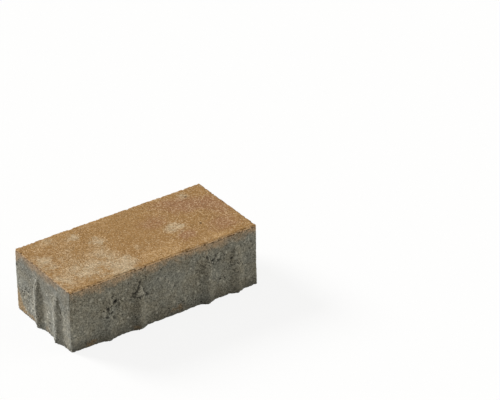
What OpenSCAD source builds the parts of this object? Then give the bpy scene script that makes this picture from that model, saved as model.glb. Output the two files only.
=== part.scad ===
// Rectangular concrete paving stone, cast in one piece, with interlocking ribs on its four sides.
// The origin is the middle of the bed face. +X runs along the stone, +Y across it, +Z up to the walking face.
// The ribs hold the joints open and stop laid stones from sliding along each other. Their places follow
// the sides anticlockwise, seen from above, so the stone is the same again when it is turned half way round.

/* [Stone] */
// Length between the two end faces, without the ribs
stone_length = 197; // [170:1:300]
// Width between the two long faces, without the ribs
stone_width = 93; // [85:1:200]
// Thickness from the bed face to the walking face
stone_thickness = 62; // [55:1:120]
// Radius of the four upright corners
corner_radius = 2; // [0.5:0.5:6]
// Radius of the worn edge round the walking face
edge_radius = 1.5; // [0.5:0.25:4]

/* [Ribs] */
// Width of a rib at the bed face
rib_width = 16; // [12:1:20]
// How far a rib stands out from its side
rib_reach = 3.5; // [2.5:0.25:4.5]
// Radius of the round ridge between a rib's flat flanks
ridge_radius = 4; // [2:0.5:6]
// Height of the plain band between the rib tips and the walking face
plain_band = 12; // [6:1:18]
// Height of the pointed tip that ends a rib
tip_height = 27; // [16:1:28]
// Width that is left where the tip ends
tip_width = 2; // [1:0.5:4]
// Radius of the two arcs that narrow the tip
tip_radius = 55; // [40:1:90]
// Height over which the ridge falls back into the side
fall_height = 14; // [10:1:20]
// Radius of the arc in which the ridge falls back
fall_radius = 45; // [30:1:80]
// Distance between the two ribs of a pair
rib_pitch = 32; // [26:1:34]
// Distance from the corner where a side starts to its first rib
lead_inset = 38; // [28:1:42]
// Distance from the corner where a side ends to its last rib
trail_inset = 23; // [18:1:28]

/* [Hidden] */

// Colour of the walking face
sand_ochre = [0.69, 0.54, 0.35];
// Facets of a circle in a preview
$fn = 96;
// How far a shaping section runs past the stone
overrun = 10;

// How deep a rib is rooted in the stone
rib_root = 2;
// Place of the ridge's axis in front of the side, and slope of the flanks that touch the ridge
ridge_axis = rib_reach - ridge_radius;
flank_slope = atan2(ridge_axis, rib_width / 2) + asin(ridge_radius / norm([rib_width / 2, ridge_axis]));
// Middle of an arc of this radius that leads upwards from a start to an end
function arc_middle(start, end, radius) =
    let (chord = end - start, half = norm(chord) / 2)
    (start + end) / 2 + sqrt(pow(radius, 2) - pow(half, 2)) / (2 * half) * [-chord.y, chord.x];
// Height at which a rib ends, and middles of the arcs that narrow its tip and let its ridge fall back
rib_top = stone_thickness - plain_band;
tip_middle = arc_middle([rib_width / 2, rib_top - tip_height], [tip_width / 2, rib_top], tip_radius);
fall_middle = arc_middle([rib_reach, rib_top - fall_height], [0, rib_top], fall_radius);

// Places of the ribs along a side, counted from the corner where the side starts
lead_pair = [lead_inset, lead_inset + rib_pitch];
function trail_pair(side) = [side - trail_inset - rib_pitch, side - trail_inset];
long_places = concat(lead_pair, trail_pair(stone_length));
end_places = trail_pair(stone_width);

// Outline of the stone from above, with its round corners
module plan() {
    square([stone_length - 2 * corner_radius, stone_width], center = true);
    square([stone_length, stone_width - 2 * corner_radius], center = true);
    for (x = [-1, 1], y = [-1, 1])
        translate([x * (stone_length / 2 - corner_radius), y * (stone_width / 2 - corner_radius)])
            circle(corner_radius);
}

// Upright section between two opposite faces this far apart, with the worn edges on top
module worn_section(across) {
    shoulder = stone_thickness - edge_radius;
    translate([-across / 2, 0])
        square([across, shoulder]);
    translate([edge_radius - across / 2, 0])
        square([across - 2 * edge_radius, stone_thickness]);
    for (side = [-1, 1])
        translate([side * (across / 2 - edge_radius), shoulder])
            circle(edge_radius);
}

// The stone without its ribs
module block() {
    intersection() {
        linear_extrude(stone_thickness)
            plan();
        rotate([90, 0, 0])
            linear_extrude(stone_width + overrun, center = true)
                worn_section(stone_length);
        rotate([90, 0, 90])
            linear_extrude(stone_length + overrun, center = true)
                worn_section(stone_width);
    }
}

// Rib from above: two flat flanks, which run on into the stone, and the round ridge between them
module rib_section() {
    foot = rib_width / 2 + rib_root / tan(flank_slope);
    touch = [ridge_radius * sin(flank_slope), ridge_axis + ridge_radius * cos(flank_slope)];
    polygon([[-foot, -rib_root], [foot, -rib_root], touch, [-touch.x, touch.y]]);
    translate([0, ridge_axis])
        circle(ridge_radius);
}

// Rib from the front: the lower part at full width, then two arcs that lean together
module rib_front() {
    translate([-rib_width, 0])
        square([2 * rib_width, tip_middle.y]);
    intersection() {
        translate(tip_middle)
            circle(tip_radius);
        translate([-tip_middle.x, tip_middle.y])
            circle(tip_radius);
    }
}

// Rib from the side: the lower part at full reach, then an arc that leads back into the stone
module rib_profile() {
    translate([-overrun, 0])
        square([2 * overrun, fall_middle.y]);
    translate(fall_middle)
        circle(fall_radius);
}

// One upright rib on a side that faces +Y
module rib() {
    intersection() {
        linear_extrude(stone_thickness)
            rib_section();
        rotate([90, 0, 0])
            linear_extrude(2 * overrun, center = true)
                rib_front();
        rotate([90, 0, 90])
            linear_extrude(4 * rib_width, center = true)
                rib_profile();
    }
}

// The ribs of a side that faces -Y and runs along +X
module side_ribs(side, depth, places) {
    for (place = places)
        translate([place - side / 2, -depth / 2, 0])
            rotate(180)
                rib();
}

module paving_stone() {
    color(sand_ochre) {
        block();
        for (turn = [0, 180])
            rotate(turn) {
                side_ribs(stone_length, stone_width, long_places);
                rotate(-90)
                    side_ribs(stone_width, stone_length, end_places);
            }
    }
}

paving_stone();
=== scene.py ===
"""Looks of a concrete paving stone: its worn shape, its two-layer concrete and a plain studio stage."""
import math
from types import SimpleNamespace
from typing import NamedTuple

import bpy
from bpy.props import FloatProperty, FloatVectorProperty, IntProperty, PointerProperty
from mathutils import Matrix, Vector


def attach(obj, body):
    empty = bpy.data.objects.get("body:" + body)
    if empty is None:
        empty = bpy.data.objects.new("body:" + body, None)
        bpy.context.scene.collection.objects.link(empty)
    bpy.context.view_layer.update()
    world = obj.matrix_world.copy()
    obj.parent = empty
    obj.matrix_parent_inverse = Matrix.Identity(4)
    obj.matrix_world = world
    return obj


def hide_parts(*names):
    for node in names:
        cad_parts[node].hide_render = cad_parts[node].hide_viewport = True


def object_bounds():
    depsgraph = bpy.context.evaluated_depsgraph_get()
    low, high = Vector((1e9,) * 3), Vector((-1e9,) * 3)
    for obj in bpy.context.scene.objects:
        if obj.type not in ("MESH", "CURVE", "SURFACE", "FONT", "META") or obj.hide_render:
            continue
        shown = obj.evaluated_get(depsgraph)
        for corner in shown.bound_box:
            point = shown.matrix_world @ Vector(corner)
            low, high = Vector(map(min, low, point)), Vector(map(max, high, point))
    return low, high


bl_info = {
    "name": "Concrete Paving Stone",
    "version": (1, 0, 0),
    "blender": (4, 5, 0),
    "location": "3D View > Sidebar > Paving Stone",
    "description": "Builds a worn concrete paving stone with interlocking ribs, and a studio stage for it",
    "category": "Add Mesh",
}

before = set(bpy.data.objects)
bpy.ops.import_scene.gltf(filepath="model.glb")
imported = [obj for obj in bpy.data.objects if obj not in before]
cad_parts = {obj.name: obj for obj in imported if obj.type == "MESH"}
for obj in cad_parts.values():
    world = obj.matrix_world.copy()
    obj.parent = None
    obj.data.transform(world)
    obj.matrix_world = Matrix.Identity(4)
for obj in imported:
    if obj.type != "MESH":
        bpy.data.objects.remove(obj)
CAD_LOW, CAD_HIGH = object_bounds()

NODE = "paving_stone"
BODY = "root"
MM = 0.001
TRIANGLE_LIMIT = 200_000
WHITE = (1, 1, 1)

# Overall size of the stone, with its ribs
SPAN = CAD_HIGH - CAD_LOW
HEIGHT = SPAN.z

# The picture's size in pixels, the camera's focal length in the same pixels, and its film width
PICTURE_WIDTH = 500
PICTURE_HEIGHT = 400
FOCAL_PIXELS = 3000
FILM_WIDTH_MM = 36


class Cloud(NamedTuple):
    """A cloudy noise: size of its features in millimetres, octaves, roughness and seed"""
    size: float
    octaves: float
    roughness: float
    seed: float


class Grains(NamedTuple):
    """A pattern of grains: their size in millimetres, and its seed"""
    size: float
    seed: float


class EdgeWear(NamedTuple):
    """Wear along an edge: name of the distance to it, reach, noise of its chips, their range, and crumbs"""
    distance: str
    reach: float
    chips: Cloud
    chip_range: tuple
    crumb: float


# Noises of the shape. The seed of the stone is added to theirs
SHAPE_WARP = Cloud(4, 2, 0.5, 1)
TEARS = Cloud(5, 3, 0.6, 2)
LOOSE_ZONES = Cloud(30, 1, 0.5, 3)
ROUGH = Cloud(3.2, 3, 0.6, 4)
COARSE = Cloud(9, 2, 0.5, 5)
WAVES = Cloud(36, 1, 0.5, 6)
CHIPS = Cloud(4.5, 2, 0.55, 7)
CRUMBS = Cloud(2.4, 1, 0.5, 8)
DENTS = Cloud(8, 3, 0.6, 9)
NOTCHES = Grains(3.2, 10)
JOINT_BREAKS = Cloud(6, 2, 0.5, 11)

# Wear of the three kinds of edges: reach and depth of the crumbs in millimetres
RIM_WEAR = EdgeWear("from_rim", 2.8, CHIPS, (0.54, 0.7), 0.5)
CORNER_WEAR = EdgeWear("from_corner", 3, CHIPS, (0.5, 0.72), 0.2)
FOOT_WEAR = EdgeWear("from_foot", 4, DENTS, (0.5, 0.7), 0.4)

# Noises and grains of the facing layer
FACING_DRIFT = Cloud(34, 3, 0.55, 11)
FACING_GRIT = Cloud(2, 3, 0.7, 12)
FACING_BLOTCH = Cloud(8, 4, 0.65, 13)
SAND = Grains(1, 1.4)
COARSE_SAND = Grains(2.4, 1.5)

# Noises and grains of the core
CORE_CLOUD = Cloud(18, 3, 0.6, 21)
CORE_MOTTLE = Cloud(4.5, 3, 0.6, 22)
CORE_GRIT = Cloud(1.9, 2, 0.6, 23)
STONY_ZONES = Cloud(16, 2, 0.5, 24)
VOID_ZONES = Cloud(22, 2, 0.5, 25)
CORE_GRAINS = Grains(1, 2.2)
VOIDS = Grains(2.6, 2.6)

# Pale aggregate of the core: its grains, and how strongly they show
SPECKS = ((Grains(3.4, 2.4), 0.6), (Grains(6, 2.5), 0.35))

# Noises and grains of the whole surface
COLOUR_WARP = Cloud(9, 4, 0.65, 31)
SURFACE_GRIT = Cloud(2.2, 3, 0.65, 32)
BAND_DRIFT = Cloud(16, 2, 0.5, 33)
FINE_BUMPS = Cloud(1.1, 2, 0.6, 34)
SAND_BUMPS = Cloud(2, 3, 0.7, 35)
BAND_FRAYS = Cloud(6, 3, 0.6, 36)
RIM_CRUMBS = Cloud(2.8, 3, 0.6, 37)
BUMP_GRAINS = Grains(1.9, 1.4)

# Middle of a noise, and the factor that spreads it to mostly between -1 and 1
NOISE_MIDDLE = 0.5
NOISE_SPREAD = 4

# A range says where a smooth step begins, where it is full and, if that isn't 1, how high it gets.
# These two are shares of a patch's half sizes and of a hollow's radius
PATCH_RANGE = (1.3, 0.1)
HOLLOW_RANGE = (0.95, 0.35)

# Single hollows: place on the face in millimetres, radius and depth.
# Those of the walking face are placed along and across it, those of the long face that faces -Y along it
# and up from the bed, those of the end that faces -X across it and up from the bed.
WALKING_HOLLOWS = (
    ((60, -13), 1.9, 1.5),
    ((74, 33), 1.5, 0.9),
    ((20, 9), 1.2, 0.6),
)
LONG_HOLLOWS = (
    ((-52.5, 36.5), 2.8, 1.7),
    ((-54.5, 41), 1.8, 1.2),
    ((-61, 33), 1.8, 1.3),
    ((-57, 26.5), 2.2, 1.6),
    ((-60.5, 28), 1.4, 1.0),
    ((-54.5, 22), 2.0, 1.3),
    ((-63, 23), 1.5, 1.1),
    ((-53.5, 18.5), 1.5, 1.1),
    ((-48.5, 32), 1.6, 1.1),
    ((44, 48), 2.0, 1.3),
    ((50, 41.5), 2.4, 1.5),
    ((56, 39), 1.7, 1.2),
    ((53, 45), 1.4, 1.0),
    ((70, 37), 2.0, 1.3),
    ((76, 22), 1.8, 1.1),
    ((9, 31), 1.6, 1.0),
    ((-3.5, 51), 1.9, 1.2),
    ((-18, 53), 1.5, 1.0),
    ((17, 10), 1.9, 1.2),
    ((22, 11), 1.5, 1.0),
    ((-85, 6), 1.7, 1.1),
    ((-70, 7), 1.5, 0.9),
)
END_HOLLOWS = (
    ((8, 44), 1.6, 0.9),
    ((-18, 38), 1.7, 1.0),
    ((-19.5, 33), 1.4, 0.7),
    ((29, 28), 2.2, 0.5),
    ((24, 27), 1.8, 0.6),
    ((22, 22), 2.2, 0.6),
    ((33, 19), 2.2, 0.5),
    ((26, 14), 1.8, 0.5),
    ((24, 9), 1.8, 0.6),
    ((37, 25), 1.6, 0.4),
    ((-12, 13), 1.6, 0.6),
)

# Zones where the sides are torn open: middle, half sizes and strength
TORN_ZONES = (
    ((-98.5, 28, 23), (9, 12, 11), 1.0),
    ((-102, 8, 9), (6, 9, 12), 0.9),
    ((-102, -23, 10), (6, 9, 12), 0.7),
    ((-99, 8, 47), (6, 5, 6), 0.8),
    ((-99, -18, 38), (6, 4, 6), 0.8),
    ((-55, -49, 32), (13, 9, 12), 0.9),
    ((50, -48, 43), (15, 9, 9), 1.0),
    ((74, -49, 31), (9, 9, 12), 0.6),
    ((18, -47, 9), (16, 8, 7), 0.6),
)

# Where ribs are worn lower: middle, half sizes and the share of their reach that is gone
WORN_RIBS = (
    ((-100, -23.5, 42), (9, 11, 40), 0.26),
    ((-100, 14, 4), (9, 7, 15), 0.45),
    ((-60, -48, 31), (12, 9, 60), 0.3),
    ((75, -48, 31), (12, 9, 60), 0.2),
    ((100, 20, 31), (9, 11, 60), 0.2),
    ((30, 48, 31), (12, 9, 60), 0.25),
    ((-70, 48, 31), (12, 9, 60), 0.15),
)

# Limy patches of the sides: middle, half sizes and strength, below zero where they are dark
LIMY_PATCHES = (
    ((-98.5, -36, 18), (6, 9, 16), 0.8),
    ((-98.5, -3, 20), (6, 6, 14), 0.6),
    ((-98.5, 40, 32), (6, 10, 12), 0.3),
    ((-88, -46.5, 22), (14, 6, 24), 0.5),
    ((12, -46.5, 28), (20, 6, 16), 0.6),
    ((26, -46.5, 36), (8, 6, 12), 0.4),
    ((-20, -46.5, 20), (8, 6, 12), 0.4),
    ((-101, 13, 5), (5, 5, 16), -0.9),
    ((-33, -48, 16), (4, 6, 18), -0.8),
    ((-101, -19, 18), (5, 5, 22), -0.6),
)

# A broken pebble in the long face, in millimetres: its corners, along the face and up from the bed, where
# it lies across the stone and how far to either side, how far it stands out, the depth of the joint about
# it, and the distances from its outline at which the pebble and the joint begin and are full
PEBBLE_CORNERS = ((-26.5, 47), (-35.6, 34.2), (-20, 31.5))
PEBBLE_FACE_Y = -48
PEBBLE_FACE_REACH = 4
PEBBLE_RISE = 0.3
PEBBLE_JOINT_DEPTH = 1.3
PEBBLE_RANGE = (0, -0.8)
PEBBLE_JOINT_RANGE = (1.5, 0.4)

# Cloudy patches of the walking face: place along and across the stone, half sizes and strength
PALE_PATCHES = (
    ((-70, -6), (46, 60), 0.3),
    ((-32, -30), (15, 22), 0.8),
    ((-62, -24), (24, 18), 0.65),
    ((-44, -42), (20, 10), 0.5),
    ((-33, 13), (8, 9), 0.85),
    ((-45, 32), (10, 6), 0.7),
    ((36, -8), (11, 11), 0.9),
    ((73, 36), (9, 9), 0.7),
    ((-8, -16), (7, 7), 0.4),
    ((-90, 8), (11, 18), 0.65),
    ((-92, -28), (9, 20), 0.4),
    ((-72, 38), (14, 7), 0.35),
    ((-39, -4), (11, 13), 0.35),
)
RED_PATCHES = (
    ((66, 20), (24, 18), 0.9),
    ((37, -23), (13, 11), 0.9),
    ((76, -26), (20, 16), 0.8),
    ((25, 12), (20, 15), 0.7),
    ((88, 4), (16, 22), 0.8),
    ((50, 34), (22, 12), 0.5),
)
GOLD_PATCHES = (
    ((3, -36), (30, 14), 0.7),
    ((57, -40), (24, 10), 0.6),
    ((-52, 42), (22, 8), 0.4),
    ((-10, 42), (24, 10), 0.4),
    ((-80, 36), (16, 10), 0.5),
)

# Parts of the walking face where its grain is worn smooth: place, half sizes and strength
SMOOTH_PATCHES = (
    ((2, 18), (36, 36), 0.9),
    ((62, -30), (30, 18), 0.4),
    ((-60, 38), (20, 10), 0.4),
)

# Brown stains low on the sides: place, half sizes and strength
STAINS = (
    ((-98.5, 44, 11), (6, 8, 15), 0.9),
    ((-98.5, 38, 3), (6, 12, 8), 0.8),
    ((-98.5, 22, 2), (6, 12, 6), 0.55),
    ((-98.5, -6, 4), (6, 6, 6), 0.45),
    ((-78, -46.5, 3), (9, 5, 5), 0.7),
    ((-31, -46.5, 3), (6, 5, 5), 0.6),
    ((13, -46.5, 5), (10, 5, 5), 0.6),
)


def shade(red, green, blue):
    """A colour written as on a screen, 0 to 255, as linear light."""
    def linear(level):
        share = level / 255
        return share / 12.92 if share <= 0.04045 else ((share + 0.055) / 1.055) ** 2.4
    return linear(red), linear(green), linear(blue)


def length_property(name, description, millimetres):
    """A length in metres, given in millimetres."""
    return FloatProperty(name=name, description=description, default=millimetres * MM, unit="LENGTH",
                         precision=5)


def angle_property(name, description, degrees):
    """An angle, given in degrees."""
    return FloatProperty(name=name, description=description, default=math.radians(degrees), subtype="ANGLE")


def colour_property(name, description, red, green, blue):
    """A colour, given as on a screen."""
    return FloatVectorProperty(name=name, description=description, subtype="COLOR", size=3, min=0, max=1,
                               default=shade(red, green, blue))


class StoneShape(bpy.types.PropertyGroup):
    """Sizes of the stone and of its wear"""
    corner_radius: length_property("Corner radius", "Radius of the upright corners", 2)
    edge_radius: length_property("Edge radius", "Radius of the worn edge round the walking face", 1.5)
    rib_width: length_property("Rib width", "Width of a rib at the bed face", 16)
    rib_reach: length_property("Rib reach", "How far a rib stands out from its side", 3.5)
    ridge_radius: length_property("Ridge radius", "Radius of a rib's round ridge", 4)
    rib_fillet: length_property("Rib fillet", "Softness of the line where a rib meets its side", 0.7)
    plain_band: length_property("Plain band", "Height of the band above the rib tips", 12)
    tip_height: length_property("Tip height", "Height of the pointed tip of a rib", 27)
    tip_width: length_property("Tip width", "Width that is left where the tip ends", 2)
    tip_radius: length_property("Tip radius", "Radius of the two arcs that narrow the tip", 55)
    fall_height: length_property("Fall height", "Height over which the ridge falls back into the side", 14)
    fall_radius: length_property("Fall radius", "Radius of the arc in which the ridge falls back", 45)
    rib_pitch: length_property("Rib pitch", "Distance between the two ribs of a pair", 32)
    lead_inset: length_property("Lead inset", "Distance from a side's first corner to its first rib", 38)
    trail_inset: length_property("Trail inset", "Distance from a side's last corner to its last rib", 23)
    mesh_step: length_property("Mesh step", "Average distance between the points of the mesh", 0.9)
    allowance: length_property("Allowance", "How far the faces lie inside their nominal planes", 0.25)
    walking_relief: length_property("Walking relief", "Roughness of the walking face", 0.14)
    side_relief: length_property("Side relief", "Roughness of the sides", 0.2)
    side_wave: length_property("Side wave", "Slow waviness of the sides", 0.3)
    pit_depth: length_property("Pit depth", "Depth of the torn pits in the sides", 1.3)
    rim_chip: length_property("Rim chip", "Depth of the chips along the walking face's rim", 1.2)
    corner_chip: length_property("Corner chip", "Depth of the chips along the upright corners", 0.3)
    foot_chip: length_property("Foot chip", "Depth of the chips along the bed face's rim", 0.7)
    seed: IntProperty(name="Seed", default=7, description="Another number wears the stone in another way")


class StoneColours(bpy.types.PropertyGroup):
    """Colours of the facing layer, the core and their blemishes, some of them painted shade"""
    ochre: colour_property("Ochre", "Main colour of the walking face", 151, 115, 68)
    pale: colour_property("Pale", "Lime-pale patches of the walking face", 181, 163, 134)
    red: colour_property("Red", "Reddish patches of the walking face", 145, 106, 73)
    gold: colour_property("Gold", "Yellow patches of the walking face", 175, 139, 91)
    light_grain: colour_property("Light grain", "Pale sand grains", 226, 198, 162)
    # Also the colour of the painted shade in pinholes, notches and the gaps below the rim.
    dark_grain_and_shade: colour_property("Dark grain", "Dark grains and pinholes of the walking face", 98, 70, 40)
    band: colour_property("Band", "Facing layer where it shows on the sides", 194, 166, 136)
    warm_grey: colour_property("Warm grey", "Concrete of the core, where it is sandy", 165, 160, 145)
    cool_grey: colour_property("Cool grey", "Concrete of the core, where it is limy", 160, 160, 152)
    speck: colour_property("Speck", "Pale aggregate in the core", 222, 219, 206)
    # Painted shade inside the small voids of the core.
    void: colour_property("Void", "Small voids in the core", 62, 60, 54)
    stain: colour_property("Stain", "Brown stains near the bed face", 180, 150, 110)


class StageLook(bpy.types.PropertyGroup):
    """Light, floor and camera"""
    key_level: FloatProperty(name="Key level", default=1.2,
                             description="Light of the key on a face turned to it")
    key_azimuth: angle_property("Key azimuth", "Where the key comes from, round the stone", 204.5)
    key_elevation: angle_property("Key elevation", "Height of the key above the floor", 31.1)
    key_softness: angle_property("Key softness", "Angle that the key covers", 22)
    fill_level: FloatProperty(name="Fill level", default=0.24,
                              description="Light of the fill on a face turned to it")
    fill_azimuth: angle_property("Fill azimuth", "Where the fill comes from, round the stone", 58)
    fill_elevation: angle_property("Fill elevation", "Height of the fill above the floor", 30)
    fill_softness: angle_property("Fill softness", "Angle that the fill covers", 50)
    fill_colour: colour_property("Fill colour", "Colour of the fill", 255, 250, 236)
    sky: colour_property("Sky", "Light from all round", 151, 149, 143)
    floor: colour_property("Floor", "Colour of the floor as it lights the stone", 130, 129, 125)
    floor_seen: colour_property("Floor seen", "Colour of the floor as it is seen", 244, 244, 243)
    floor_white: FloatProperty(name="Floor white", default=0.86, subtype="FACTOR", min=0, max=1,
                               description="Share of plain white in the floor that is seen")
    view_azimuth: angle_property("View azimuth", "Where the camera stands, round the stone", -34.2)
    view_elevation: angle_property("View elevation", "Height of the camera above the floor", 30.27)
    view_roll: angle_property("View roll", "Turn of the camera about its own axis", -0.95)
    view_depth: FloatProperty(name="View depth", default=2.6776, unit="LENGTH",
                              description="Depth of the stone's middle in the view")
    stone_pixel: FloatVectorProperty(name="Stone pixel", size=2, default=(137.3, 266.0),
                                     description="Where the stone's middle is in the picture")


class Value:
    """An output socket. Sums of values, and of values and numbers, add their own Math nodes."""

    def __init__(self, maker, socket):
        self.maker = maker
        self.socket = socket

    def __add__(self, other):
        return self.maker.math("ADD", self, other)

    def __sub__(self, other):
        return self.maker.math("SUBTRACT", self, other)

    def __rsub__(self, other):
        return self.maker.math("SUBTRACT", other, self)

    def __mul__(self, other):
        return self.maker.math("MULTIPLY", self, other)

    def __truediv__(self, other):
        return self.maker.math("DIVIDE", self, other)

    def __rtruediv__(self, other):
        return self.maker.math("DIVIDE", other, self)

    def __gt__(self, other):
        return self.maker.math("GREATER_THAN", self, other)

    def __lt__(self, other):
        return self.maker.math("LESS_THAN", self, other)

    def __abs__(self):
        return self.maker.math("ABSOLUTE", self)

    __radd__ = __add__
    __rmul__ = __mul__


class NodeMaker:
    """Adds nodes to one tree, of a shape or of a material."""

    def __init__(self, tree):
        self.tree = tree

    def node(self, kind, settings=None, values=None, out=0):
        """A new node's output. Settings come first, then every named socket gets its value or its link."""
        made = self.tree.nodes.new(kind)
        for name, setting in (settings or {}).items():
            setattr(made, name, setting)
        for key, value in (values or {}).items():
            socket = self.socket(made.inputs, key)
            if isinstance(value, Value):
                self.tree.links.new(value.socket, socket)
            else:
                socket.default_value = value
        return Value(self, self.socket(made.outputs, out)) if made.outputs else None

    def socket(self, sockets, key):
        """A socket by its place in the list or by its identifier."""
        if isinstance(key, int):
            return sockets[key]
        return next(socket for socket in sockets if socket.identifier == key)

    def beside(self, value, out):
        """Another output of the node that a value comes from."""
        return Value(self, self.socket(value.socket.node.outputs, out))

    def math(self, operation, *terms):
        """A Math node."""
        return self.node("ShaderNodeMath", {"operation": operation}, dict(enumerate(terms)))

    def vector(self, operation, *terms, out="Vector", **values):
        """A Vector Math node."""
        inputs = {**dict(enumerate(terms)), **values}
        return self.node("ShaderNodeVectorMath", {"operation": operation}, inputs, out)

    def split(self, vector):
        """The three parts of a vector."""
        first = self.node("ShaderNodeSeparateXYZ", values={"Vector": vector})
        return first, self.beside(first, "Y"), self.beside(first, "Z")

    def join(self, x, y, z):
        """A vector from its three parts."""
        return self.node("ShaderNodeCombineXYZ", values={"X": x, "Y": y, "Z": z})

    def largest(self, *values):
        """The largest of some values."""
        top = values[0]
        for value in values[1:]:
            top = self.math("MAXIMUM", top, value)
        return top

    def smallest(self, *values):
        """The smallest of some values."""
        low = values[0]
        for value in values[1:]:
            low = self.math("MINIMUM", low, value)
        return low

    def step(self, value, start, end, most=1):
        """A smooth step: 0 up to start and its most from end on, whichever of the two is larger."""
        return self.node("ShaderNodeMapRange", {"interpolation_type": "SMOOTHSTEP", "clamp": True},
                         {"Value": value, "From Min": start, "From Max": end, "To Max": most})

    def noise(self, where, cloud, seed=0, out="Fac"):
        """A cloudy noise, mostly between 0.25 and 0.75."""
        values = {"Vector": where, "W": seed + cloud.seed, "Scale": 1 / (cloud.size * MM),
                  "Detail": cloud.octaves, "Roughness": cloud.roughness}
        return self.node("ShaderNodeTexNoise", {"noise_dimensions": "4D"}, values, out)

    def swing(self, where, cloud, seed=0):
        """A cloudy noise that swings about zero, mostly between -1 and 1."""
        return (self.noise(where, cloud, seed) - NOISE_MIDDLE) * NOISE_SPREAD

    def swirl(self, where, cloud, seed=0):
        """A cloudy noise of three parts that swings about zero."""
        middle = (NOISE_MIDDLE, NOISE_MIDDLE, NOISE_MIDDLE)
        return self.vector("SUBTRACT", self.noise(where, cloud, seed, "Color"), middle)

    def pushed(self, where, push, reach):
        """A place pushed along a vector, this many times its length."""
        return self.vector("ADD", where, self.vector("SCALE", push, Scale=reach))

    def cells(self, where, grains, seed=0):
        """The distance to a grain's middle, as a share of the grain size, and the grain's three lots."""
        shift = seed + grains.seed
        moved = self.vector("ADD", where, self.join(shift, shift, shift))
        away = self.node("ShaderNodeTexVoronoi", values={"Vector": moved, "Scale": 1 / (grains.size * MM)})
        lot, tone, shape = self.split(self.beside(away, "Color"))
        return SimpleNamespace(away=away, lot=lot, tone=tone, shape=shape)

    def patches(self, where, places):
        """Sum of soft patches, each with a middle and half sizes in millimetres and a strength."""
        total = None
        for middle, halves, strength in places:
            apart = self.vector("SUBTRACT", where, tuple(value * MM for value in middle))
            apart = self.vector("DIVIDE", apart, tuple(value * MM for value in halves))
            patch = self.step(self.vector("LENGTH", apart, out="Value"), *PATCH_RANGE, strength)
            total = patch if total is None else total + patch
        return total

    def mix(self, share, first, second):
        """A colour between two, each a value or three numbers."""
        ends = {"A_Color": first, "B_Color": second}
        values = {key: end if isinstance(end, Value) else (*end, 1) for key, end in ends.items()}
        values["Factor_Float"] = share
        return self.node("ShaderNodeMix", {"data_type": "RGBA"}, values, "Result_Color")

    def tint(self, colour, factor):
        """A colour made brighter or darker."""
        return self.vector("SCALE", colour, Scale=factor)


class ShapeMaker(NodeMaker):
    """Adds the nodes of a shape."""

    def inputs(self, group):
        """Named inputs of the tree, one for each size of a property group, as values by their keys."""
        source = self.tree.nodes.new("NodeGroupInput")
        found = {}
        for key in type(group).__annotations__:
            kind = "NodeSocketInt" if isinstance(getattr(group, key), int) else "NodeSocketFloat"
            name = group.bl_rna.properties[key].name
            made = self.tree.interface.new_socket(name=name, in_out="INPUT", socket_type=kind)
            found[key] = Value(self, self.socket(source.outputs, made.identifier))
        return SimpleNamespace(**found)

    def place(self):
        """The place of a point."""
        return self.node("GeometryNodeInputPosition")

    def moved(self, mesh, **values):
        """A mesh whose points are moved."""
        return self.node("GeometryNodeSetPosition", values={"Geometry": mesh, **values})

    def stored(self, mesh, name, value):
        """A mesh with a number stored at each point."""
        return self.node("GeometryNodeStoreNamedAttribute", {"data_type": "FLOAT", "domain": "POINT"},
                         {"Geometry": mesh, "Name": name, "Value": value})

    def read(self, name):
        """A stored number."""
        return self.node("GeometryNodeInputNamedAttribute", {"data_type": "FLOAT"}, {"Name": name})


def empty_tree(owner):
    """The node tree of a new material or world, without any nodes."""
    owner.use_nodes = True
    owner.node_tree.nodes.clear()
    return owner.node_tree


def placed(name, data):
    """A new object in the scene."""
    made = bpy.data.objects.new(name, data)
    bpy.context.scene.collection.objects.link(made)
    return made


def block_mesh(maker, size):
    """A plain block of small squares, denser towards its edges, with each point's distances to them."""
    crowding = 0.25
    hair = 0.01 * MM
    half_x = size.length / 2
    half_y = size.width / 2
    counts = {"Vertices X": size.length / size.mesh_step, "Vertices Y": size.width / size.mesh_step,
              "Vertices Z": HEIGHT / size.mesh_step}
    outer = maker.join(size.length, size.width, HEIGHT)
    box = maker.node("GeometryNodeMeshCube", values={"Size": outer, **counts})

    x, y, z = maker.split(maker.place())

    def crowded(place, half):
        turn = place / half * math.pi
        return place + maker.math("SINE", turn) * half * (crowding / math.pi)

    upright = z + HEIGHT / 2
    rising = upright + maker.math("SINE", upright / HEIGHT * math.pi) * (HEIGHT * crowding / math.pi)
    mesh = maker.moved(box, Position=maker.join(crowded(x, half_x), crowded(y, half_y), rising))

    x, y, z = maker.split(maker.place())
    from_end = half_x - abs(x)
    from_long = half_y - abs(y)
    inward = maker.smallest(from_end, from_long)
    stores = {
        "on_long": from_long < hair,
        "on_end": from_end < hair,
        "from_rim": maker.largest(HEIGHT - z, inward),
        "from_foot": maker.largest(z, inward),
        "from_corner": maker.largest(from_end, from_long),
        "upper": (z > HEIGHT - hair) * maker.step(inward, 0, size.edge_radius),
    }
    for name, value in stores.items():
        mesh = maker.stored(mesh, name, value)
    return mesh


def arc_place(maker, start, end, radius, z):
    """Place across, at this height, of an arc that leads upwards and bulges outwards."""
    run = end[0] - start[0]
    rise = end[1] - start[1]
    half = maker.math("SQRT", run * run + rise * rise) / 2
    lean = maker.math("SQRT", radius * radius - half * half) / (half * 2)
    middle = (start[0] + end[0]) / 2 - lean * rise
    above = maker.largest(z - ((start[1] + end[1]) / 2 + lean * run), 0)
    return middle + maker.math("SQRT", maker.largest(radius * radius - above * above, 0))


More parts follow.
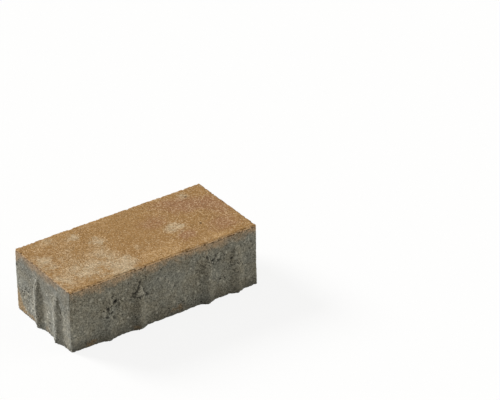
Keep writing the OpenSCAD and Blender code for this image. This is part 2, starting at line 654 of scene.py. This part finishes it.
def rib_rise(maker, size, along, places, z):
    """How far the ribs at these places along a side stand out of it."""
    wall_slope = 1.1
    foot = size.rib_width / 2
    axis = size.rib_reach - size.ridge_radius
    touch = maker.math("ARCSINE", size.ridge_radius / maker.math("SQRT", foot * foot + axis * axis))
    slope = maker.math("ARCTAN2", axis, foot) + touch
    aside = maker.smallest(*[abs(along - place) for place in places])
    flank = (foot - aside) * maker.math("TANGENT", slope)
    above = size.ridge_radius * size.ridge_radius - aside * aside
    ridge = axis + maker.math("SQRT", maker.largest(above, 0))
    on_ridge = aside < size.ridge_radius * maker.math("SINE", slope)
    section = flank + (ridge - flank) * on_ridge

    top = HEIGHT - size.plain_band
    tip_start = (foot, top - size.tip_height)
    narrowed = arc_place(maker, tip_start, (size.tip_width / 2, top), size.tip_radius, z)
    wall = (narrowed - aside) * wall_slope
    fall_start = (size.rib_reach, top - size.fall_height)
    fallen = arc_place(maker, fall_start, (0.0, top), size.fall_radius, z)
    rise = maker.smallest(section, wall, fallen)
    return (rise + maker.math("SQRT", rise * rise + size.rib_fillet * size.rib_fillet)) / 2


def ribbed_mesh(maker, size, mesh):
    """The block with round corners and a round rim, and with its ribs."""
    nearly_zero = MM * MM
    place = maker.place()
    x, y, z = maker.split(place)
    half_x = size.length / 2
    half_y = size.width / 2

    def core(value, half, radius):
        return maker.smallest(maker.largest(value, radius - half), half - radius)

    def rounded(place, inner, radius):
        outward = maker.vector("SUBTRACT", place, inner)
        reach = maker.vector("LENGTH", outward, out="Value")
        return maker.pushed(inner, outward, maker.smallest(radius / maker.largest(reach, nearly_zero), 1))

    corner = size.corner_radius
    plan = rounded(place, maker.join(core(x, half_x, corner), core(y, half_y, corner), z), corner)
    plan_x, plan_y = maker.split(plan)[:2]
    edge = size.edge_radius
    shoulder = maker.smallest(z, HEIGHT - edge)
    inner = maker.join(core(plan_x, half_x, edge), core(plan_y, half_y, edge), shoulder)
    block = rounded(plan, inner, edge)

    side_x = maker.math("SIGN", x)
    side_y = maker.math("SIGN", y)
    trail = size.trail_inset
    lead = size.lead_inset
    pitch = size.rib_pitch
    long_places = [lead, lead + pitch, size.length - trail - pitch, size.length - trail]
    end_places = [size.width - trail - pitch, size.width - trail]
    long_rise = rib_rise(maker, size, half_x - side_y * x, long_places, z) * maker.read("on_long")
    end_rise = rib_rise(maker, size, half_y + side_x * y, end_places, z) * maker.read("on_end")
    left = 1 - maker.patches(place, WORN_RIBS)
    ribs = maker.join(side_x * end_rise * left, side_y * long_rise * left, 0)
    return maker.moved(mesh, Position=maker.vector("ADD", block, ribs))


def pebble_distance(maker, where):
    """Distance to the outline of the broken pebble, in millimetres, below zero inside it."""
    x, y, z = maker.split(where)
    corners = [Vector(corner) for corner in PEBBLE_CORNERS]
    middle = sum(corners, Vector((0, 0))) / len(corners)
    planes = []
    for start, end in zip(corners, corners[1:] + corners[:1]):
        outward = Vector((end.y - start.y, start.x - end.x)).normalized()
        if outward.dot(start - middle) < 0:
            outward = -outward
        planes.append(x / MM * outward.x + z / MM * outward.y - outward.dot(start))
    off_face = abs(y / MM - PEBBLE_FACE_Y) - PEBBLE_FACE_REACH
    return maker.largest(*planes, off_face)


def face_hollows(maker, first, second, places):
    """Depth of the single hollows of a face, over the two directions that it runs in."""
    begin, full = HOLLOW_RANGE
    where = maker.join(first, second, 0)
    deepest = None
    for (along, across), radius, depth in places:
        away = maker.vector("DISTANCE", where, (along * MM, across * MM, 0), out="Value")
        dent = maker.step(away, radius * MM * begin, radius * MM * full, depth * MM)
        deepest = dent if deepest is None else maker.largest(deepest, dent)
    return deepest


def single_hollows(maker, warped, upper):
    """Depth of the single hollows of the three faces that have them."""
    x, y, z = maker.split(warped)
    return maker.largest(
        face_hollows(maker, x, y, WALKING_HOLLOWS) * upper,
        face_hollows(maker, x, z, LONG_HOLLOWS) * maker.read("on_long") * (y < 0),
        face_hollows(maker, y, z, END_HOLLOWS) * maker.read("on_end") * (x < 0))


def torn_pits(maker, size, place, torn, sides):
    """Depth of the pits in the torn zones of the sides, and of a few more in loose zones."""
    loose_range = (0.42, 0.66, 0.15)
    zone_share = 0.16
    pit_range = (0.66, 0.8)
    rim_range = (4 * MM, 9 * MM)
    loose = maker.step(maker.noise(place, LOOSE_ZONES, size.seed), *loose_range)
    tear = maker.noise(place, TEARS, size.seed) + maker.largest(torn, loose) * zone_share
    below_rim = maker.step(maker.read("from_rim"), *rim_range)
    return maker.step(tear, *pit_range) * size.pit_depth * sides * below_rim


def pebble_joint(maker, size, place, pebble_edge):
    """Depth of the broken joint about the pebble."""
    break_range = (0.3, 0.46)
    broken = maker.step(maker.noise(place, JOINT_BREAKS, size.seed), *break_range)
    return maker.step(abs(pebble_edge), *PEBBLE_JOINT_RANGE, PEBBLE_JOINT_DEPTH * MM) * broken


def face_relief(maker, size, place, torn, upper):
    """Depth of the rough and wavy faces, about zero."""
    rough_share = 0.7
    coarse_share = 0.4
    torn_gain = 2.8
    sides = 1 - upper
    rough = maker.swing(place, ROUGH, size.seed)
    coarse = maker.swing(place, COARSE, size.seed)
    wave = maker.swing(place, WAVES, size.seed)
    relief = size.side_relief * sides * (1 + torn * torn_gain) + size.walking_relief * upper
    return (rough * rough_share + coarse * coarse_share) * relief + wave * size.side_wave * sides


def edge_depth(maker, size, place, wear, chip):
    """Depth of the chips and crumbs along an edge."""
    crumb_range = (0.42, 0.66)
    near = maker.step(maker.read(wear.distance), wear.reach * MM, 0)
    chips = maker.step(maker.noise(place, wear.chips, size.seed), *wear.chip_range)
    crumbs = maker.step(maker.noise(place, CRUMBS, size.seed), *crumb_range)
    return near * (chips * chip + crumbs * (wear.crumb * MM))


def rim_notches(maker, size, warped):
    """Notches that lost grains leave along the rim, between 0 and 1."""
    least_lot = 0.6
    grain_range = (0.5, 0.25)
    rim_range = (2.4 * MM, 1.2 * MM)
    grains = maker.cells(warped, NOTCHES, size.seed)
    near = maker.step(maker.read("from_rim"), *rim_range)
    return (grains.lot > least_lot) * maker.step(grains.away, *grain_range) * near


def worn_mesh(maker, size, mesh):
    """The ribbed block with hollows, pits, chipped edges and rough faces."""
    warp_reach = 7 * MM
    notch_share = 0.8
    foot_range = (0.5, 1.3)
    place = maker.place()
    upper = maker.read("upper")
    sides = 1 - upper
    warped = maker.pushed(place, maker.swirl(place, SHAPE_WARP, size.seed), warp_reach)

    torn = maker.smallest(maker.patches(warped, TORN_ZONES), 1)
    pebble_edge = pebble_distance(maker, warped)
    pebble = maker.step(pebble_edge, *PEBBLE_RANGE)
    hollow = maker.largest(
        single_hollows(maker, warped, upper),
        torn_pits(maker, size, place, torn, sides),
        pebble_joint(maker, size, place, pebble_edge))
    relief = face_relief(maker, size, place, torn, upper)

    notch = rim_notches(maker, size, warped)
    rim = edge_depth(maker, size, place, RIM_WEAR, size.rim_chip)
    rim = maker.largest(rim, notch * size.rim_chip * notch_share)
    corner = edge_depth(maker, size, place, CORNER_WEAR, size.corner_chip) * sides
    foot = edge_depth(maker, size, place, FOOT_WEAR, size.foot_chip)
    rise = pebble * (PEBBLE_RISE * MM)
    depth = size.allowance + hollow + relief + maker.largest(rim, corner, foot) - rise

    stores = {
        "hollow": hollow / size.pit_depth,
        "pebble": pebble,
        "torn": torn,
        # Notches and deep foot chips, where the material paints shade.
        "notch": maker.largest(notch, maker.step(foot / size.foot_chip, *foot_range)),
    }
    for name, value in stores.items():
        mesh = maker.stored(mesh, name, value)
    normal = maker.node("GeometryNodeInputNormal")
    mesh = maker.moved(mesh, Offset=maker.vector("SCALE", normal, Scale=0 - depth))
    above_low = maker.vector("MAXIMUM", maker.place(), tuple(CAD_LOW))
    return maker.moved(mesh, Position=maker.vector("MINIMUM", above_low, tuple(CAD_HIGH)))


def shape_tree(shape, material):
    """The tree that makes the stone."""
    tree = bpy.data.node_groups.new("paving_stone_shape", "GeometryNodeTree")
    tree.interface.new_socket(name="Mesh", in_out="OUTPUT", socket_type="NodeSocketGeometry")
    maker = ShapeMaker(tree)
    size = maker.inputs(shape)
    size.length = SPAN.x - size.rib_reach * 2
    size.width = SPAN.y - size.rib_reach * 2
    mesh = worn_mesh(maker, size, ribbed_mesh(maker, size, block_mesh(maker, size)))
    for name in ("on_end", "from_foot"):
        mesh = maker.node("GeometryNodeRemoveAttribute", values={"Geometry": mesh, "Name": name})
    mesh = maker.node("GeometryNodeSetShadeSmooth", values={"Geometry": mesh})
    mesh = maker.node("GeometryNodeRealizeInstances", values={"Geometry": mesh})
    mesh = maker.node("GeometryNodeSetMaterial", values={"Geometry": mesh, "Material": material})
    maker.node("NodeGroupOutput", values={0: mesh})
    return tree


class ConcreteMaker(NodeMaker):
    """Adds the nodes of the concrete."""

    def stored(self, name):
        """A number stored at each point of the mesh."""
        return self.node("ShaderNodeAttribute", {"attribute_name": name}, out="Fac")

    def flat_patches(self, where, places):
        """Patches of the walking face, nearly the same at every depth."""
        top = HEIGHT / MM
        reach = 1000
        deep = [((*middle, top), (*halves, reach), strength) for middle, halves, strength in places]
        return self.patches(where, deep)


def facing_clouds(maker, colours, where, warped):
    """Ochre of the facing layer with its gold, red and pale clouds, the share of pale, and its blotches."""
    blotch_stir = 0.4
    grit_stir = 0.36
    cloud_stir = 0.5
    gold_drift = 0.2
    gold_range = (0, 1)
    red_range = (0.05, 1)
    limy_gain = 1.02
    limy_stir = 2
    pale_stir = 0.3
    pale_drift = 0.1
    pale_range = (0.05, 1.15)
    pale_most = 0.88
    grit_tint = 0.06
    blotch_tint = 0.04
    drift = maker.swing(where, FACING_DRIFT)
    blotch = maker.swing(where, FACING_BLOTCH)
    grit = maker.swing(where, FACING_GRIT)
    stir = blotch * blotch_stir + grit * grit_stir

    gold = maker.flat_patches(warped, GOLD_PATCHES) + drift * gold_drift + stir * cloud_stir
    red = maker.flat_patches(warped, RED_PATCHES) + stir * cloud_stir
    limy = maker.flat_patches(warped, PALE_PATCHES) * (limy_gain + stir * limy_stir)
    pale = maker.step(limy + stir * pale_stir + drift * pale_drift, *pale_range)
    colour = maker.mix(maker.step(gold, *gold_range), colours.ochre, colours.gold)
    colour = maker.mix(maker.step(red, *red_range), colour, colours.red)
    colour = maker.mix(pale * pale_most, colour, colours.pale)
    return maker.tint(colour, 1 + grit * grit_tint + blotch * blotch_tint), pale, blotch


def facing_colour(maker, colours, where, warped):
    """Sandy facing layer: its clouds of colour with sand grains, and pinholes painted dark as painted
    shade.
    """
    plain_contrast = 0.38
    pale_contrast = 0.08
    smooth_loss = 0.5
    blotch_gain = 0.3
    light_tones = (0.55, 1)
    dark_tones = (0.45, 0)
    colour, pale, blotch = facing_clouds(maker, colours, where, warped)
    smooth = maker.smallest(maker.flat_patches(warped, SMOOTH_PATCHES), 1)
    contrast = (plain_contrast + pale * pale_contrast) * (1 - smooth * smooth_loss)
    contrast = contrast * (1 + blotch * blotch_gain)
    sand = maker.cells(where, SAND)
    colour = maker.mix(maker.step(sand.tone, *light_tones) * contrast, colour, colours.light_grain)
    colour = maker.mix(maker.step(sand.tone, *dark_tones) * contrast, colour, colours.dark_grain_and_shade)

    light_lot = 0.82
    light_range = (0.5, 0.2)
    light_share = 0.2
    light_pale = 0.4
    pinhole_lot = 0.06
    pinhole_range = (0.4, 0.15)
    pinhole_painted_shade = 0.6
    coarse = maker.cells(where, COARSE_SAND)
    light = (coarse.lot > light_lot) * maker.step(coarse.away, *light_range)
    colour = maker.mix(light * (light_share + pale * light_pale), colour, colours.light_grain)
    # The pinholes are painted dark: painted shade.
    pinhole = (coarse.lot < pinhole_lot) * maker.step(coarse.away, *pinhole_range)
    return maker.mix(pinhole * pinhole_painted_shade, colour, colours.dark_grain_and_shade)


def core_grain(maker, warped, surface):
    """Fine light and dark grain of the core, about zero, stronger on the long faces and where torn."""
    plain_contrast = 0.74
    long_contrast = 0.18
    torn_contrast = 0.6
    light_tones = (0.5, 1, 0.6)
    dark_tones = (0.5, 0, 0.42)
    tone = maker.cells(warped, CORE_GRAINS).tone
    contrast = plain_contrast + surface.on_long * long_contrast + surface.torn * torn_contrast
    return (maker.step(tone, *light_tones) - maker.step(tone, *dark_tones)) * contrast


def stained_core(maker, colours, where, warped, grain):
    """Cloudy grey of the core, with its limy patches, its grain and its brown stains."""
    grey_mottle = 0.3
    grey_range = (-0.8, 0.8)
    plain_tint = 0.92
    limy_tint = 0.2
    cloud_tint = 0.07
    mottle_tint = 0.03
    grit_tint = 0.1
    cloud = maker.swing(where, CORE_CLOUD)
    mottle = maker.swing(where, CORE_MOTTLE)
    grit = maker.swing(where, CORE_GRIT)
    limy = maker.smallest(maker.patches(warped, LIMY_PATCHES), 1)
    cool = maker.step(cloud + mottle * grey_mottle, *grey_range)
    tone = plain_tint + limy * limy_tint + cloud * cloud_tint + mottle * mottle_tint
    tone = tone + grit * grit_tint + grain
    grey = maker.tint(maker.mix(cool, colours.warm_grey, colours.cool_grey), tone)

    stain_mottle = 0.3
    stain_grit = 0.2
    stain_range = (0.15, 0.85, 0.78)
    stain_grain = 0.7
    stains = maker.patches(warped, STAINS) + mottle * stain_mottle + grit * stain_grit
    brown = maker.tint(colours.stain, 1 + grain * stain_grain + grit * grit_tint)
    return maker.mix(maker.step(stains, *stain_range), grey, brown)


def core_colour(maker, colours, where, warped, surface):
    """Grey core: stained concrete with pale aggregate and small voids, painted dark as painted shade.
    Returns its voids and grain too.
    """
    stony_range = (0.38, 0.62, 0.3)
    speck_lot = 0.86
    speck_reach = 0.34
    speck_full = 0.2
    shape_reach = 0.2
    grain = core_grain(maker, warped, surface)
    colour = stained_core(maker, colours, where, warped, grain)
    stony = maker.step(maker.noise(where, STONY_ZONES), *stony_range)
    for grains, share in SPECKS:
        found = maker.cells(warped, grains)
        outline = speck_reach + found.shape * shape_reach
        speck = (found.lot > speck_lot) * maker.step(found.away, outline, speck_full)
        colour = maker.mix(speck * (share + stony), colour, colours.speck)

    zone_range = (0.44, 0.62, 0.07)
    plain_lot = 0.015
    torn_lot = 0.3
    void_reach = 0.3
    void_full = 0.16
    void_painted_shade = 0.85
    zones = maker.step(maker.noise(where, VOID_ZONES), *zone_range)
    found = maker.cells(warped, VOIDS)
    chosen = found.lot < plain_lot + zones + surface.torn * torn_lot
    void = chosen * maker.step(found.away, void_reach + found.shape * shape_reach, void_full)
    # The voids are painted dark: painted shade.
    return maker.mix(void * void_painted_shade, colour, colours.void), void, grain


def banded_core(maker, colours, surface, facing, core, grain):
    """The core with the ragged band of the facing layer above it. On the -Y face, which lies in shade, the
    band is painted lighter: painted light.
    """
    layer_depth = 6 * MM
    front_depth = 1 * MM
    drift_depth = 4.5 * MM
    lean_depth = 9 * MM
    grit_reach = 1.8 * MM
    fray_reach = 3.4 * MM
    fade_below = 4.5 * MM
    fade_above = 5.5 * MM
    band_most = 0.76
    drift = maker.swing(surface.where, BAND_DRIFT)
    frays = maker.swing(surface.where, BAND_FRAYS)
    layer = layer_depth + surface.front * front_depth + drift * drift_depth + surface.lean * lean_depth
    depth = HEIGHT - surface.z + surface.grit * grit_reach + frays * fray_reach
    band = maker.step(depth, layer + fade_below, layer - fade_above, band_most)

    facing_share = 0.25
    plain_tint = 0.9
    front_painted_light = 0.52
    lean_tint = 0.35
    even_tint = 0.97
    grit_tint = 0.25
    grain_tint = 0.8
    speckled = even_tint + surface.grit * grit_tint + grain * grain_tint
    # On the -Y face the band is painted lighter: painted light.
    tone = (plain_tint + surface.front * front_painted_light + surface.lean * lean_tint) * speckled
    sandy = maker.tint(maker.mix(facing_share, colours.band, facing), tone)

    # Painted shade: the core is darker towards the foot of the long faces and towards the top of the ends.
    long_range = (16 * MM, 0, 0.4)
    end_range = (26 * MM, 50 * MM, 0.2)
    long_foot_painted_shade = surface.on_long * maker.step(surface.z, *long_range)
    end_top_painted_shade = (1 - surface.on_long) * maker.step(surface.z, *end_range)
    return maker.mix(band, maker.tint(core, 1 - (long_foot_painted_shade + end_top_painted_shade)), sandy)


def rimmed_side(maker, colours, surface, facing, side):
    """The sides with their sandy rim, and the walking face inside it. On the -Y face, which lies in shade,
    the rim is painted much lighter: painted light.
    """
    grit_reach = 0.6 * MM
    rim_range = (2 * MM, 0.6 * MM, 0.85)
    band_share = 0.35
    plain_tint = 1.05
    front_painted_light = 1.1
    walked_grit = 0.18
    walked_range = (0.15, 0.75)
    rim = maker.step(surface.from_rim + surface.grit * grit_reach, *rim_range)
    # On the -Y face the rim is painted much lighter: painted light.
    sandy = maker.tint(maker.mix(band_share, facing, colours.band), plain_tint + surface.front * front_painted_light)
    walked = maker.step(surface.upper + surface.grit * walked_grit, *walked_range)
    return maker.mix(walked, maker.mix(rim, side, sandy), facing)


def worn_colour(maker, colours, surface, colour, grain):
    """A colour with the pebble and pale worn corners, with painted shade in the hollows, the notches and
    foot chips, and painted shadow in the gaps below the rim.
    """
    pebble_share = 0.36
    pebble_grain = 0.6
    corner_range = (2.4 * MM, 0.6 * MM, 0.28)
    hollow_painted_shade = 0.82
    colour = maker.mix(surface.pebble * (pebble_share + grain * pebble_grain), colour, colours.speck)
    worn_corner = maker.step(surface.from_corner, *corner_range)
    # The hollows are painted darker: painted shade.
    colour = maker.tint(colour, 1 - maker.smallest(surface.hollow, 1) * hollow_painted_shade + worn_corner)

    lower_range = (3.2 * MM, 2 * MM)
    upper_range = (0.2 * MM, 1 * MM)
    grit_reach = 0.4 * MM
    crumb_range = (0.52, 0.58)
    gap_share = 0.65
    gap_long = 0.25
    notch_share = 0.6
    crumbs = maker.step(maker.noise(surface.where, RIM_CRUMBS), *crumb_range)
    edge = maker.step(surface.from_rim + surface.grit * grit_reach, *upper_range)
    below = maker.step(surface.from_rim, *lower_range) * edge
    # Painted shadow in the gaps below the rim, darker on the long faces, and painted shade in the notches
    # and foot chips.
    gap_shadow = crumbs * below * (1 - surface.upper) * (gap_share + surface.on_long * gap_long)
    return maker.mix(maker.largest(gap_shadow, surface.notch * notch_share), colour, colours.dark_grain_and_shade)


def fine_height(maker, surface, void):
    """Height of the finest relief: grains, sand and voids."""
    grain_depth = 0.12 * MM
    fine_rise = 0.07 * MM
    sand_rise = 0.08 * MM
    void_depth = 0.5 * MM
    away = maker.cells(surface.where, BUMP_GRAINS).away
    fine = maker.swing(surface.where, FINE_BUMPS)
    sand = maker.swing(surface.where, SAND_BUMPS)
    holes = away * grain_depth + void * void_depth * (1 - surface.upper)
    return fine * fine_rise + sand * sand_rise - holes


def concrete(colours):
    """Material of the stone: its facing layer, its core, and the wear stored with the mesh. Part of its
    colour is painted light and painted shade.
    """
    material = bpy.data.materials.new("paving_stone_concrete")
    maker = ConcreteMaker(empty_tree(material))
    names = ("upper", "hollow", "pebble", "notch", "torn", "from_rim", "from_corner", "on_long")
    surface = SimpleNamespace(**{name: maker.stored(name) for name in names})
    where = maker.node("ShaderNodeTexCoord", out="Object")
    y, surface.z = maker.split(where)[1:]
    surface.where = where
    surface.grit = maker.swing(where, SURFACE_GRIT)
    # The -Y long face lies in the key light's shade; its band and rim are painted lighter there, as painted
    # light.
    surface.front = surface.on_long * (y < 0)
    surface.lean = y / SPAN.y * (1 - surface.on_long)

    facing_warp = 22 * MM
    core_warp = 5 * MM
    swirl = maker.swirl(where, COLOUR_WARP)
    facing = facing_colour(maker, colours, where, maker.pushed(where, swirl, facing_warp))
    core, void, grain = core_colour(maker, colours, where, maker.pushed(where, swirl, core_warp), surface)
    side = banded_core(maker, colours, surface, facing, core, grain)
    colour = rimmed_side(maker, colours, surface, facing, side)
    colour = worn_colour(maker, colours, surface, colour, grain)

    plain_roughness = 0.92
    grit_roughness = 0.03
    shine = 0.25
    height = fine_height(maker, surface, void)
    normal = maker.node("ShaderNodeBump", values={"Strength": 1.0, "Distance": 1.0, "Height": height})
    roughness = plain_roughness + surface.grit * grit_roughness
    shader = maker.node("ShaderNodeBsdfPrincipled", values={
        "Base Color": colour, "Roughness": roughness, "Specular IOR Level": shine, "Normal": normal})
    maker.node("ShaderNodeOutputMaterial", values={"Surface": shader})
    return material


def stone_object(shape, material):
    """The stone as a plain mesh, made by its tree."""
    start = bpy.data.meshes.new("paving_stone_start")
    stone = placed("paving_stone_worn", start)
    modifier = stone.modifiers.new("Shape", "NODES")
    modifier.node_group = shape_tree(shape, material)
    items = modifier.node_group.interface.items_tree
    sockets = {item.name: item for item in items if item.in_out == "INPUT"}
    for key in type(shape).__annotations__:
        modifier[sockets[shape.bl_rna.properties[key].name].identifier] = getattr(shape, key)
    evaluated = stone.evaluated_get(bpy.context.evaluated_depsgraph_get())
    mesh = bpy.data.meshes.new_from_object(evaluated)
    mesh.name = "paving_stone_worn"
    stone.modifiers.remove(modifier)
    stone.data = mesh
    bpy.data.meshes.remove(start)
    return stone


class PAVING_OT_stone(bpy.types.Operator):
    """Build the stone: its worn mesh and its concrete"""
    bl_idname = "paving.stone"
    bl_label = "Paving Stone"

    def execute(self, context):
        scene = context.scene
        stone = stone_object(scene.paving_shape, concrete(scene.paving_colours))
        triangles = sum(len(face.vertices) - 2 for face in stone.data.polygons)
        if not 0 < triangles < TRIANGLE_LIMIT:
            raise RuntimeError(f"the stone has {triangles} triangles, so its mesh step is wrong")
        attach(stone, BODY)
        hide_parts(NODE)
        return {"FINISHED"}


def floor_material(look):
    """A floor that keeps the stone's shadow and is nearly white where it is seen."""
    material = bpy.data.materials.new("stage_floor")
    maker = NodeMaker(empty_tree(material))
    seen = seen_rays(maker)
    colour = maker.mix(seen, look.floor, look.floor_seen)
    diffuse = maker.node("ShaderNodeBsdfDiffuse", values={"Color": colour})
    white = maker.node("ShaderNodeEmission", values={"Color": (*WHITE, 1), "Strength": 1.0})
    shader = maker.node("ShaderNodeMixShader", values={0: seen * look.floor_white, 1: diffuse, 2: white})
    maker.node("ShaderNodeOutputMaterial", values={"Surface": shader})
    return material


def seen_rays(maker):
    """1 for what the camera sees, directly or in gloss and glass."""
    camera = maker.node("ShaderNodeLightPath", out="Is Camera Ray")
    glossy = maker.beside(camera, "Is Glossy Ray")
    return maker.largest(camera, glossy, maker.beside(camera, "Is Transmission Ray"))


def backdrop_world(look):
    """A sky that lights the stone softly and is white where it is seen."""
    world = bpy.data.worlds.new("stage_sky")
    maker = NodeMaker(empty_tree(world))
    colour = maker.mix(seen_rays(maker), look.sky, WHITE)
    light = maker.node("ShaderNodeBackground", values={"Color": colour})
    maker.node("ShaderNodeOutputWorld", values={"Surface": light})
    return world


def direction(azimuth, elevation):
    """Unit vector from the stone towards an azimuth, counted from -Y towards +X, and an elevation."""
    flat = math.cos(elevation)
    return Vector((math.sin(azimuth) * flat, -math.cos(azimuth) * flat, math.sin(elevation)))


def add_floor(look):
    """A wide flat floor under the stone."""
    half = 4.0
    corners = [(-half, -half, 0), (half, -half, 0), (half, half, 0), (-half, half, 0)]
    mesh = bpy.data.meshes.new("stage_floor")
    mesh.from_pydata(corners, [], [(0, 1, 2, 3)])
    mesh.materials.append(floor_material(look))
    floor = placed("stage_floor", mesh)


def add_lamp(name, colour, level, azimuth, elevation, softness):
    """A soft light, far away."""
    light = bpy.data.lights.new(name, "SUN")
    light.color = colour
    light.energy = level * math.pi
    light.angle = softness
    lamp = placed(name, light)
    lamp.rotation_euler = direction(azimuth, elevation).to_track_quat("Z", "Y").to_euler()


def add_camera(look):
    """The camera, placed so that the stone's middle falls on its pixel of the picture."""
    back = direction(look.view_azimuth, look.view_elevation)
    right = Vector((0, 0, 1)).cross(back).normalized()
    rise = back.cross(right)
    roll = Matrix.Rotation(look.view_roll, 3, back)
    right = roll @ right
    rise = roll @ rise
    pixel = look.view_depth / FOCAL_PIXELS
    aside = (look.stone_pixel[0] - PICTURE_WIDTH / 2) * pixel
    below = (look.stone_pixel[1] - PICTURE_HEIGHT / 2) * pixel
    middle = (CAD_LOW + CAD_HIGH) / 2
    place = middle + back * look.view_depth - right * aside + rise * below

    lens = bpy.data.cameras.new("stage_camera")
    lens.sensor_width = FILM_WIDTH_MM
    lens.lens = FILM_WIDTH_MM * FOCAL_PIXELS / PICTURE_WIDTH
    camera = placed("stage_camera", lens)
    turn = Matrix((right, rise, back)).transposed().to_4x4()
    camera.matrix_world = Matrix.Translation(place) @ turn
    bpy.context.scene.camera = camera


class PAVING_OT_stage(bpy.types.Operator):
    """Build the stage: floor, sky, lights and camera"""
    bl_idname = "paving.stage"
    bl_label = "Stage"

    def execute(self, context):
        look = context.scene.paving_stage
        add_floor(look)
        add_lamp("stage_key", WHITE, look.key_level, look.key_azimuth, look.key_elevation,
                 look.key_softness)
        add_lamp("stage_fill", look.fill_colour, look.fill_level, look.fill_azimuth, look.fill_elevation,
                 look.fill_softness)
        add_camera(look)
        context.scene.world = backdrop_world(look)
        context.scene.view_settings.view_transform = "Standard"
        return {"FINISHED"}


class PAVING_PT_panel(bpy.types.Panel):
    """Sizes, colours and stage of the paving stone, and the steps that build them"""
    bl_idname = "PAVING_PT_panel"
    bl_label = "Paving Stone"
    bl_space_type = "VIEW_3D"
    bl_region_type = "UI"
    bl_category = "Paving Stone"

    def draw(self, context):
        scene = context.scene
        for operator in (PAVING_OT_stone, PAVING_OT_stage):
            self.layout.operator(operator.bl_idname)
        for group in (scene.paving_shape, scene.paving_colours, scene.paving_stage):
            box = self.layout.box()
            for key in type(group).__annotations__:
                box.prop(group, key)


CLASSES = (StoneShape, StoneColours, StageLook, PAVING_OT_stone, PAVING_OT_stage, PAVING_PT_panel)


def register():
    """Register the classes and give each scene its settings."""
    for cls in CLASSES:
        bpy.utils.register_class(cls)
    bpy.types.Scene.paving_shape = PointerProperty(type=StoneShape)
    bpy.types.Scene.paving_colours = PointerProperty(type=StoneColours)
    bpy.types.Scene.paving_stage = PointerProperty(type=StageLook)


def unregister():
    """Take the settings and the classes away again."""
    del bpy.types.Scene.paving_stage
    del bpy.types.Scene.paving_colours
    del bpy.types.Scene.paving_shape
    for cls in reversed(CLASSES):
        bpy.utils.unregister_class(cls)


def main():
    """Build everything in order."""
    register()
    bpy.ops.paving.stone()
    bpy.ops.paving.stage()


if __name__ == "__main__":
    main()
